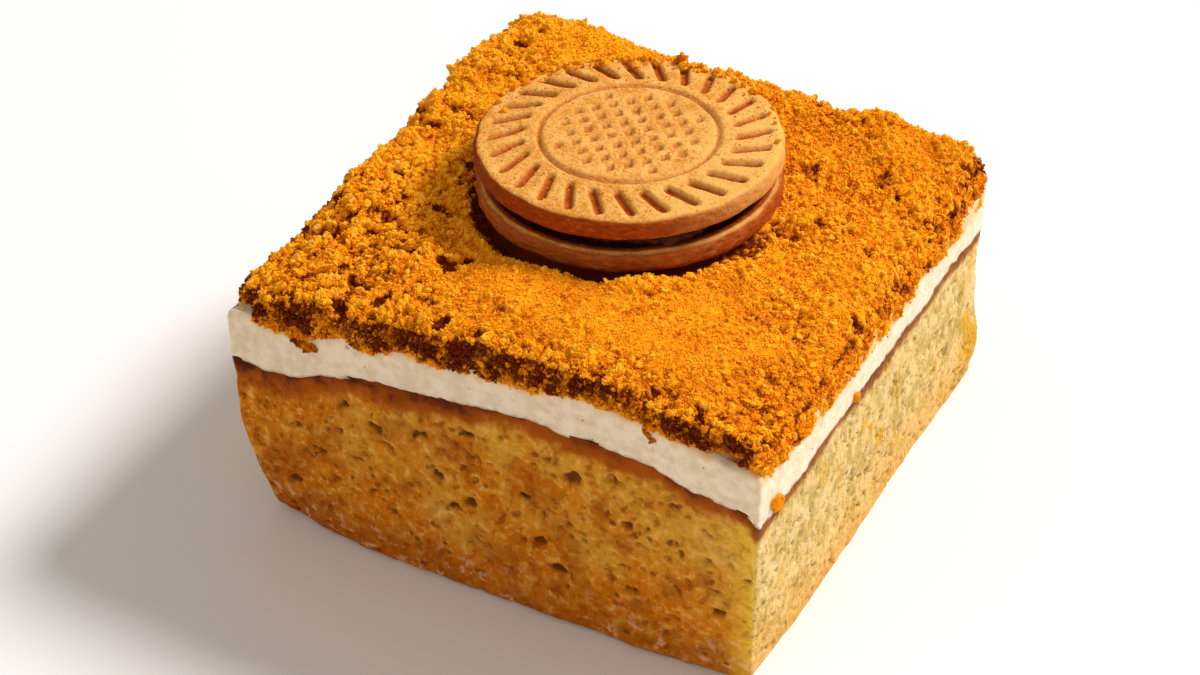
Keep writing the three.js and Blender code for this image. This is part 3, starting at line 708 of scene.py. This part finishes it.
# Painted light and shade over the crumbs' own tones: lighter on top of the lumps, darker between
# them, in the hollows and in the moat, where the biscuit shades them.
bed_tone_and_shade = 0.52 - 0.28 * coarse + 1.1 * (bed_z - blurred(bed_z, 14)) + chip_tone * coarse
bed_tone_and_shade += 0.16 * smooth_step(bed_y - bed_x, 20, 50) - 0.1 * smooth_step(bed_x - bed_y, 44, 70)
for at_x, at_y, amount, radius in TINTS:
    bed_tone_and_shade += amount * spot(at_x, at_y, radius)
# Painted shadow of the biscuit on the crumbs just to its left.
beside = smooth_step(-outside, -4.0, -0.5) * smooth_step(BISCUIT_X + 4 - bed_x, 0, 16)
bed_tone_and_shade = np.clip(bed_tone_and_shade - 0.42 * hollow - 0.75 * moat - 0.2 * beside, -0.25, 0.75)

mesh = grid_with_wall(BED_CELLS, WALL_ROWS)
u, v = vertices_of(mesh)[:, :2].T
top_count, round_count = (BED_CELLS + 1) ** 2, 4 * BED_CELLS
column = np.rint((u + 1) / 2 * BED_CELLS).astype(int)
row = np.rint((v + 1) / 2 * BED_CELLS).astype(int)
points = np.stack([bed_x[row, column], bed_y[row, column], bed_z[row, column]], -1)
core_tone_and_shade = bed_tone_and_shade[row, column]

# The wall hangs down to the cream, and bulges out where the crumbs hang over its edge.
wall = slice(top_count, top_count + WALL_ROWS * round_count)
down = np.repeat(np.arange(1, WALL_ROWS + 1) / WALL_ROWS, round_count)
edge_x, edge_y = bed_edge(u[wall], v[wall])
wall_hang = crumb_hang(edge_x, edge_y)
way = np.stack([smooth_step(np.abs(edge), HALF - 2, HALF) * np.sign(edge) for edge in (edge_x, edge_y)], -1)
way /= np.linalg.norm(way, axis=-1)[:, None]
foot = cream_top(edge_x, edge_y) - np.clip(wall_hang, -0.2, None)
points[wall, 2] += (foot - points[wall, 2]) * down
over_edge = smooth_step(wall_hang, -0.3, 0.5)
on_right = smooth_step(way[:, 0], 0.5, 0.9)
reach_out = 0.75 - 0.3 * on_right
bulge = reach_out * over_edge * smooth_step(down, 0.0, 0.6) + 0.1 * np.sin(down * np.pi)
knobs = 0.3 * unevenness(points[wall], 1.5, 34) + 0.16 * unevenness(points[wall], 0.7, 35)
bulge += knobs * np.sin(down * 2.6)
points[wall, :2] += way * bulge[:, None]
at_back = smooth_step(way[:, 1], 0.5, 0.9)
# Painted shade on the wall under the overhang of the crumbs, lighter at its foot and on the right and back
# sides, which face the lamp.
core_tone_and_shade[wall] = 0.35 * unevenness(points[wall], 2.4, 36) + 0.3 * down**4 + 0.4 * on_right + 0.3 * at_back
points[-1] = 0, 0, CREAM_TOP - 1

crumbs = crumb_material()
crumb_bed = add_piece(
    "crumb_bed_core", mesh, points, crumbs, marks={"tone": core_tone_and_shade - 0.1}
)
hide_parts("crumb_bed")


# --- Loose crumbs -----------------------------------------------------------------------
# The crumbs that lie free on the bed and along its edge, from dust to broken bits. Each kind is
# one piece of many small angular grains.


def grain_shape(faces):
    """The vertices and faces of a rounded grain with 8, 20 or 80 faces."""
    bm = bmesh.new()
    if faces == 8:
        bmesh.ops.create_uvsphere(bm, u_segments=4, v_segments=2, radius=1)
    else:
        bmesh.ops.create_icosphere(bm, subdivisions=1 if faces == 20 else 2, radius=1)
    bm.verts.ensure_lookup_table()
    corners = np.array([vertex.co for vertex in bm.verts])
    triangles = np.array([[vertex.index for vertex in face.verts] for face in bm.faces])
    bm.free()
    return corners, triangles


def random_turns(count, dice):
    """Evenly random rotation matrices, from quaternions."""
    w, x, y, z = (q := dice.normal(size=(4, count))) / np.linalg.norm(q, axis=0)
    return np.stack([
        np.stack([1 - 2 * (y * y + z * z), 2 * (x * y - z * w), 2 * (x * z + y * w)], -1),
        np.stack([2 * (x * y + z * w), 1 - 2 * (x * x + z * z), 2 * (y * z - x * w)], -1),
        np.stack([2 * (x * z - y * w), 2 * (y * z + x * w), 1 - 2 * (x * x + y * y)], -1),
    ], -2)


def add_crumbs(name, faces, places, radii, tones, dice):
    """Shows one grain at each place, each with a size, a tone, a turn and dents of its own."""
    corners, triangles = grain_shape(faces)
    count = len(places)
    squat = np.stack([np.ones(count), dice.uniform(0.5, 1, count), dice.uniform(0.4, 0.8, count)], -1)
    dents = 1 + (0.22 if faces == 80 else 0.38) * dice.uniform(-1, 1, (count, len(corners), 1))
    grains = corners * dents * squat[:, None] * radii[:, None, None]
    grains = np.einsum("nij,nkj->nki", random_turns(count, dice), grains) + places[:, None]
    loops = triangles + np.arange(count)[:, None, None] * len(corners)
    mesh = bpy.data.meshes.new(name)
    mesh.from_pydata(grains.reshape(-1, 3), [], loops.reshape(-1, 3))
    marks = {"tone": np.repeat(tones, len(corners))}
    add_piece(name, mesh, grains.reshape(-1, 3), crumbs, smooth=False, marks=marks)


def on_bed(count, dice, sunk, radii, coarser):
    """Random places on the bed, each sunk in by a share of its grain's radius, and their tones.
    coarser draws them to the coarse parts of the bed where it is above 0, else to the fine ones."""
    i, j = dice.integers(BED_CELLS + 1, size=(2, 6 * count))
    clear = from_biscuit(bed_x[j, i], bed_y[j, i]) > -0.5
    wanted = 0.5 + coarser * (coarse[j, i] - 0.5)
    keep = clear & (dice.random(6 * count) < wanted) & (dice.random(6 * count) > 0.3 * hollow[j, i])
    i, j = i[keep][:count], j[keep][:count]
    radii = radii[: len(i)]
    places = np.stack([bed_x[j, i], bed_y[j, i], bed_z[j, i] - sunk * radii], -1)
    places[:, :2] += dice.uniform(-0.5, 0.5, (len(i), 2)) * pitch
    spread = 0.12 + 0.28 * coarse[j, i]
    # The grains take the bed's tone, with its painted light and shade.
    tones = bed_tone_and_shade[j, i] + 0.05 + spread * dice.uniform(-0.3, 1, len(i)) * (1 - 0.8 * hollow[j, i])
    return places, radii, tones


def on_wall(count, dice, radii):
    """Random places on the wall of the bed, over the edge of the cream, and their tones."""
    pick = dice.integers(WALL_ROWS * round_count, size=count)
    places = points_of_wall[pick] + dice.uniform(-0.2, 0.2, (count, 3))
    places[:, :2] += way[pick] * (0.2 * radii)[:, None]
    places[:, 2] += 0.5 * radii * down[pick] ** 4
    # The grains on the wall take its tone, with its painted shade.
    return places, radii, wall_tone_and_shade[pick] - 0.12 + 0.5 * dice.random(count) ** 3


points_of_wall, wall_tone_and_shade = points[wall].copy(), core_tone_and_shade[wall].copy()
dice = np.random.default_rng(1204)
add_crumbs("fine_crumbs", 8, *on_bed(24000, dice, 0.1, dice.uniform(0.16, 0.4, 24000), 0.4), dice)
add_crumbs("crumb_dust", 8, *on_bed(24500, dice, -0.2, dice.uniform(0.1, 0.26, 24500), -0.4), dice)
add_crumbs("small_crumbs", 20, *on_bed(7000, dice, 0.2, dice.uniform(0.34, 0.66, 7000), 1.0), dice)
add_crumbs("edge_crumbs", 8, *on_wall(20000, dice, 0.14 + 0.34 * dice.random(20000) ** 1.5), dice)
add_crumbs("small_edge_crumbs", 20, *on_wall(2600, dice, dice.uniform(0.34, 0.62, 2600)), dice)
add_crumbs("broken_bits", 80, *on_bed(160, dice, 0.5, dice.uniform(0.6, 1.05, 160), 1.0), dice)


# --- Sandwich biscuit -------------------------------------------------------------------
# Two round caramel biscuits with a fat filling between them, laid on the crumbs. Each was pressed
# from dough in a mould, so its top has a relief, and baked darker at its rim. Their colour also has
# painted light and shade: browner in the dents, away from the lamp and at the lower one's foot,
# nearly black on the inner faces, paler on top towards the lamp, and with a painted highlight along
# the lower one's top edge.

WAFER_THICKNESS, WAFER_CROWN, WAFER_SPACING = 3.3, 0.35, 2.0
# How far the wafers' edges are rounded, in and down from the top or up from below.
TOP_EDGE_IN, TOP_EDGE_DOWN, LOW_EDGE_IN, LOW_EDGE_UP = 1.2, 1.0, 1.0, 1.1
WAFER_STEPS = 380
ROPE_STROKES, STROKE_INNER, STROKE_OUTER = 28, 14.6, 20.2
STROKE_WIDTH, STROKE_DEPTH, STROKE_SLANT = 1.7, 0.75, math.radians(26)
GROOVE_RADIUS, GROOVE_WIDTH, GROOVE_DEPTH = 12.7, 1.2, 0.55
DIAMOND_FIELD, DIAMOND_SPACING, DIAMOND_DEPTH = 10.6, 3.7, 0.5
DIAMOND_WIDTH, DIAMOND_LENGTH = 1.9, 2.7
WAFER_TAN = tone(212, 142, 54)
WAFER_PALE = tone(240, 184, 98)
WAFER_BROWN_AND_SHADE = tone(164, 66, 0)
WAFER_DARK_AND_SHADE = tone(50, 16, 3)
WAFER_SPECK = tone(150, 84, 20)


def biscuit_material():
    made, shader, place = begin_material("baked_biscuit", Specular_IOR_Level=0.1)
    baked_and_painted_light, painted_light_towards_lamp = mark(place, "baked_and_painted_light"), mark(place, "painted_light_towards_lamp")
    sand = place.cloud(0.45, 4.0)
    blotches = place.cloud(3.0, 4.0, 0.7)
    # The top is painted paler towards the right, where the lamp is.
    colour = (sand * 0.6 + blotches * 0.5 + painted_light_towards_lamp).step(0.4, 0.68).over(WAFER_TAN, WAFER_PALE)
    specks = place.made("TexVoronoi", {"Vector": place, "Scale": 1 / (0.9 * MM)})
    dotted = (1 - specks.step(0.12, 0.3)) * place.cloud(2.2, 1.0, 0.5).step(0.45, 0.62)
    colour = (dotted * 0.6).over(colour, WAFER_SPECK)
    colour = (baked_and_painted_light + (blotches - 0.5) * 0.5).step(0.1, 1.0).over(colour, WAFER_BROWN_AND_SHADE)

    # The browned sides are streaked, and the inner faces are painted nearly black, as the shade between
    # the wafers.
    streaks = place.made("Mapping", {"Vector": place, "Scale": (1.0, 1.0, 2.5)}).cloud(1.2, 4.0, 0.4)
    browned = baked_and_painted_light.step(0.4, 0.8)
    colour = (browned * streaks.step(0.52, 0.7) * 0.3).over(colour, WAFER_TAN)
    colour = (browned * (1 - streaks.step(0.32, 0.48)) * 0.3).over(colour, WAFER_DARK_AND_SHADE)
    colour = baked_and_painted_light.step(1.1, 1.9).over(colour, WAFER_DARK_AND_SHADE)

    grain = sand + place.cloud(0.18, 2.0) * 0.5 + browned * streaks * 2.0
    finish_material(shader, colour, 0.7 + sand * 0.2, grain, 0.16)
    return made


def spun(profile, steps):
    """A closed round body, spun from a half section of (radius, height) points."""
    bm = bmesh.new()
    corners = [bm.verts.new((radius, 0, height)) for radius, height in profile]
    edges = [bm.edges.new(pair) for pair in zip(corners, corners[1:])]
    bmesh.ops.spin(
        bm, geom=corners + edges, cent=(0, 0, 0), axis=(0, 0, 1),
        angle=2 * math.pi, steps=steps, use_merge=True,
    )
    bmesh.ops.remove_doubles(bm, verts=bm.verts, dist=1e-4)
    bmesh.ops.recalc_face_normals(bm, faces=bm.faces)
    return as_mesh(bm, "spun")


def wafer_profile(fineness):
    """Half the section of a wafer, from the middle of its top face round to that of its underside."""
    flat_top, flat_base = BISCUIT_RADIUS - TOP_EDGE_IN, BISCUIT_RADIUS - LOW_EDGE_IN
    side_top = WAFER_THICKNESS - TOP_EDGE_DOWN
    top = [(r, WAFER_THICKNESS) for r in np.arange(0, flat_top, fineness)]
    angles = np.linspace(0, math.pi / 2, 6)
    over = [(flat_top + TOP_EDGE_IN * math.sin(a), side_top + TOP_EDGE_DOWN * math.cos(a)) for a in angles]
    under = [
        (flat_base + LOW_EDGE_IN * math.cos(a), LOW_EDGE_UP - LOW_EDGE_UP * math.sin(a)) for a in angles
    ]
    side = [(BISCUIT_RADIUS, z) for z in np.linspace(side_top, LOW_EDGE_UP, 6)[1:-1]]
    below = [(r, 0) for r in np.linspace(flat_base, 0, 9)[1:]]
    return top + over + side + under + below


def pressed_relief(x, y):
    """How deep the mould pressed the top wafer at a place."""
    radius, around = np.hypot(x, y), np.arctan2(y, x)
    groove = np.abs(radius - GROOVE_RADIUS) / (GROOVE_WIDTH / 2)
    depth = GROOVE_DEPTH * smooth_step(groove, 1.15, 0.1)
    sector = 2 * math.pi / ROPE_STROKES
    x1, y1 = turned(x, y, -np.round(around / sector) * sector)
    along, beside = turned(x1 - (STROKE_INNER + STROKE_OUTER) / 2, y1, -STROKE_SLANT)
    half_length = (STROKE_OUTER - STROKE_INNER) / math.cos(STROKE_SLANT) / 2 - STROKE_WIDTH / 2
    reach = np.hypot(np.clip(np.abs(along) - half_length, 0, None), beside) / (STROKE_WIDTH / 2)
    depth = np.maximum(depth, STROKE_DEPTH * smooth_step(reach, 1.1, 0.35))
    for shift in (0, 0.5):
        beside = (x / DIAMOND_SPACING + shift + 0.5) % 1 - 0.5
        along = (y / DIAMOND_SPACING + shift + 0.5) % 1 - 0.5
        column, row = x / DIAMOND_SPACING - beside, y / DIAMOND_SPACING - along
        inside = np.hypot(column, row) * DIAMOND_SPACING < DIAMOND_FIELD
        slope = np.abs(beside) / DIAMOND_WIDTH + np.abs(along) / DIAMOND_LENGTH
        share = 1 - 2 * DIAMOND_SPACING * slope
        depth = np.maximum(depth, inside * DIAMOND_DEPTH * smooth_step(share, -0.1, 0.6))
    return depth


def lay(points, height):
    """Moves points of the biscuit, made flat and centred, to where it lies on the crumbs."""
    foot = Vector((BISCUIT_X, BISCUIT_Y, float(biscuit_plane(BISCUIT_X, BISCUIT_Y))))
    place = Matrix.Translation(foot) @ Matrix.Rotation(LEAN_BACK, 4, "X") @ Matrix.Rotation(LEAN_SIDE, 4, "Y")
    place = np.array(place @ Matrix.Translation((0, 0, height)))
    return points @ place[:3, :3].T + place[:3, 3]


def baking(points, radius, depth, upper_one):
    """How brown a wafer is: browner at its rim, with painted shade in its dents, away from the lamp and
    darkest on its inner face.
    """
    x, y, z = points.T
    around = np.arctan2(y, x)
    rim_start = 0.7 if upper_one else 1.2
    rim = smooth_step(radius, BISCUIT_RADIUS - rim_start, BISCUIT_RADIUS - rim_start + 0.4)
    # lit paints light and shade round the side: on the upper wafer less brown towards the lamp and more away
    # from it, on the lower one a little less brown at the front.
    lit = 0.5 * np.cos(around - math.radians(30)) if upper_one else 0.12 * np.clip(-np.sin(around), 0, 1)
    baked_and_painted_light = rim * (0.9 - lit) + depth / STROKE_DEPTH * 0.85
    # The inner face of each wafer is painted nearly black, as the shade in the gap between them.
    if upper_one:
        inner = smooth_step(-z, -0.5, -0.1)
    else:
        inner = smooth_step(z, WAFER_THICKNESS - 0.5, WAFER_THICKNESS - 0.1)
        # On the lower wafer: painted shade at its foot and a painted highlight along its top edge.
        baked_and_painted_light += rim * (0.3 * smooth_step(-z, -1.2, -0.3) - 0.5 * smooth_step(z, 2.9, 3.2))
    inner *= smooth_step(-radius, 0.8 - BISCUIT_RADIUS, 1.6 - BISCUIT_RADIUS)
    return np.clip(baked_and_painted_light, 0, 1.5) + 2.0 * inner


def add_wafer(name, height, fineness, crown, relief, seed, node):
    """Shows a wafer in place of a node, with its crown, its relief and rough sides."""
    mesh = spun(wafer_profile(fineness), WAFER_STEPS)
    points = vertices_of(mesh)
    x, y, z = points.T  # views, which move with the points
    radius = np.hypot(x, y)
    upper = smooth_step(z, WAFER_THICKNESS - 0.5, WAFER_THICKNESS - 0.05)
    depth = relief * pressed_relief(x, y)
    lift = crown * (1 - smooth_step(radius, GROOVE_RADIUS + 0.6, BISCUIT_RADIUS - 1.6))
    rough = 0.06 * unevenness(points, 0.8, seed) + 0.1 * unevenness(points, 3, seed + 1)
    points[:, 2] += upper * (lift - depth + rough)
    outward = smooth_step(radius, BISCUIT_RADIUS - 1.3, BISCUIT_RADIUS - 0.1)
    strata = points * (0.35, 0.35, 1.0)
    wobble = 0.14 * unevenness(strata, 0.7, seed + 2) + 0.14 * unevenness(points, 5, seed + 3) - 0.1
    points[:, :2] *= (1 + outward * wobble / np.maximum(radius, 1))[:, None]
    # The paler mark is painted light on the side of the top that faces the lamp.
    marks = {"baked_and_painted_light": baking(points, radius, depth, relief > 0), "painted_light_towards_lamp": 0.14 * smooth_step(x, 4, 18)}
    piece = add_piece(name, mesh, lay(points, height), biscuit, marks=marks)
    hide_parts(node)


biscuit = biscuit_material()
upper_base = WAFER_THICKNESS + WAFER_SPACING
add_wafer("lower_wafer", 0, 0.8, 0.0, 0.0, 41, "biscuit_lower_wafer")
add_wafer("upper_wafer", upper_base, 0.28, WAFER_CROWN, 1.0, 47, "biscuit_upper_wafer")


# --- Filling ----------------------------------------------------------------------------
# A brown fat cream that was spread on the lower biscuit and pressed flat under the upper one. It
# ends a little inside their rims, in a ragged edge that comes out furthest at the front right.

FILLING_RADIUS = 18.6
# Both browns are darker than the filling itself: painted shade of the narrow gap between the wafers.
FILLING_BROWN = tone(84, 38, 10)
FILLING_DARK = tone(40, 16, 5)


def filling_material():
    made, shader, place = begin_material("biscuit_filling", Specular_IOR_Level=0.2)
    streaks = place.cloud(1.5, 3.0)
    colour = streaks.step(0.35, 0.7).over(FILLING_DARK, FILLING_BROWN)
    grain = place.cloud(0.6, 3.0)
    finish_material(shader, colour, 0.35 + streaks * 0.2, grain, 0.2)
    return made


bulging = [
    (FILLING_RADIUS + 0.5 * math.sqrt(1 - 0.9 * s * s), 1.1 * s) for s in np.linspace(1, -1, 9)
]
mesh = spun([(0, 1.1), (9, 1.1), *bulging, (9, -1.1), (0, -1.1)], 300)
points = vertices_of(mesh)
x, y, z = points.T
around = np.arctan2(y, x)
edge = smooth_step(np.hypot(x, y), 12, 18)
ragged = 0.5 * unevenness(points, 3.5, 61) + 0.35 * unevenness(points, 1.1, 62)
ragged += 1.5 * np.exp(-(((around - math.radians(-41)) / 0.28) ** 2))
points[:, :2] *= (1 + edge * ragged / FILLING_RADIUS)[:, None]
filling = add_piece(
    "biscuit_filling_spread", mesh, lay(points, WAFER_THICKNESS + WAFER_SPACING / 2),
    filling_material(),
)
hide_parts("biscuit_filling")


# --- Last crumbs ------------------------------------------------------------------------
# Crumbs that fell on the biscuit when the cake was finished, most of them along its back rim,
# where one stands up, and a few that the knife dragged onto the cut sides of the cream.

# Dust all over the upper wafer.
dice = np.random.default_rng(330)
count = 900
radius = BISCUIT_RADIUS * 0.96 * np.sqrt(dice.random(count))
around = dice.uniform(0, 2 * math.pi, count)
x, y = radius * np.cos(around), radius * np.sin(around)
height = WAFER_THICKNESS + WAFER_CROWN * (1 - smooth_step(radius, GROOVE_RADIUS + 0.6, 20.4))
height = height - pressed_relief(x, y)
dust = lay(np.stack([x, y, height], -1), upper_base)
dust_radii = 0.07 + 0.14 * dice.random(count) ** 2

# A drift along its back rim.
count = 260
around = dice.normal(math.radians(108), 0.55, count)
radius = BISCUIT_RADIUS - 0.2 - np.abs(dice.normal(0, 1.1, count))
on_top = WAFER_THICKNESS - 0.6 * smooth_step(radius, BISCUIT_RADIUS - 1.2, BISCUIT_RADIUS) + 0.15
heap = lay(np.stack([radius * np.cos(around), radius * np.sin(around), on_top], -1), upper_base)
heap_radii = 0.2 + 0.55 * dice.random(count) ** 2

# Specks on the cut sides of the cream.
count = 70
share = dice.random(count)
x, y, out_x, out_y = cut_outline(share)
up = dice.random(count) ** 0.7
foot = sponge_top(x, y)
on_cream = np.stack([x, y, foot + up * (cream_top(x, y) - 1 - foot)], -1)
on_cream_radii = 0.08 + 0.2 * dice.random(count) ** 3

# The larger ones, each in a place of its own, as (x, y, z, radius, tone).
STUCK = ((40.8, -35.5, 28.9, 1.2, 0.35), (40.7, -34.4, 28.3, 0.9, 0.2), (40.8, -36.5, 29.6, 0.8, 0.45),
         (40.8, -10.1, 28.9, 1.1, 0.5), (40.7, -9.4, 28.3, 0.7, 0.3), (-28.6, -40.9, 35.2, 0.8, 0.1),
         (-27.9, -41.0, 34.9, 1.0, 0.05), (-27.1, -41.0, 34.7, 1.0, 0.15), (-26.3, -41.0, 34.5, 1.0, 0.1),
         (-25.5, -40.9, 34.5, 0.7, 0.1), (24.8, -40.9, 38.3, 0.6, 0.05), (25.4, -40.9, 37.8, 0.7, 0.1),
         (26.0, -40.9, 37.2, 0.6, 0.1), (-2.4, 23.6, 54.0, 0.9, 0.3), (-2.5, 23.6, 54.7, 0.5, 0.2))
stuck = np.array(STUCK)
places = np.concatenate([dust, heap, on_cream, stuck[:, :3]])
radii = np.concatenate([dust_radii, heap_radii, on_cream_radii, stuck[:, 3]])
biscuit_tones = dice.uniform(0.2, 0.9, len(dust) + len(heap))
cream_tones = dice.uniform(-0.1, 0.6, len(on_cream))
tones = np.concatenate([biscuit_tones, cream_tones, stuck[:, 4]])
add_crumbs("last_crumbs", 20, places, radii, tones, dice)


# --- Floor, light and camera ------------------------------------------------------------
# A plain pale floor, one large soft lamp from behind on the right with a weak one opposite, and
# the camera at the photograph's place.

bm = bmesh.new()
bmesh.ops.create_grid(bm, x_segments=1, y_segments=1, size=3)
floor = shown("floor", as_mesh(bm, "floor"))
pale, *_ = begin_material("pale_floor", Base_Color=(0.92, 0.95, 0.98, 1), Roughness=0.8)
floor.data.materials.append(pale)


def aim(name, data, place, turn):
    """A lamp or a camera at a place in metres, with a turn."""
    aimed = shown(name, data)
    aimed.location = place
    aimed.rotation_mode = "QUATERNION"
    aimed.rotation_quaternion = turn
    return aimed


def add_lamp(name, direction, distance, size, power, colour):
    """A round soft lamp that stands in a direction from the cake and shines back at it."""
    lamp = bpy.data.lights.new(name, "AREA")
    lamp.shape = "DISK"
    lamp.size = size
    lamp.energy = power
    lamp.color = colour
    way = Vector(direction).normalized()
    aim(name, lamp, way * distance, way.to_track_quat("Z", "Y"))


add_lamp("key_lamp", (0.64, 0.73, 0.95), 2.0, 0.6, 47, (1.0, 0.91, 0.86))
add_lamp("fill_lamp", (-0.5, -0.8, 0.5), 2.0, 1.2, 6, (1.0, 0.9, 0.8))
world = bpy.data.worlds.new("studio")
world.use_nodes = True
walls = world.node_tree.nodes["Background"].inputs
walls["Color"].default_value = (1.0, 0.88, 0.78, 1)
walls["Strength"].default_value = 0.36
bpy.context.scene.world = world
bpy.context.scene.view_settings.view_transform = "Standard"

IMAGE_WIDTH, SENSOR = 1200, 36.0
FOCAL_PIXELS = 2105.2
AZIMUTH, ELEVATION, ROLL = (math.radians(a) for a in (28.893, 34.949, -0.820))
DISTANCE, TARGET = 302.72, Vector((0.73, -9.14, 25.0))
lens = bpy.data.cameras.new("camera")
lens.sensor_width = SENSOR
lens.lens = FOCAL_PIXELS / IMAGE_WIDTH * SENSOR
lens.clip_start, lens.clip_end = 0.01, 20
back = Vector((
    math.sin(AZIMUTH) * math.cos(ELEVATION), -math.cos(AZIMUTH) * math.cos(ELEVATION), math.sin(ELEVATION)
))
turn = back.to_track_quat("Z", "Y") @ Matrix.Rotation(ROLL, 3, "Z").to_quaternion()
bpy.context.scene.camera = aim("camera", lens, (TARGET + back * DISTANCE) * MM, turn)
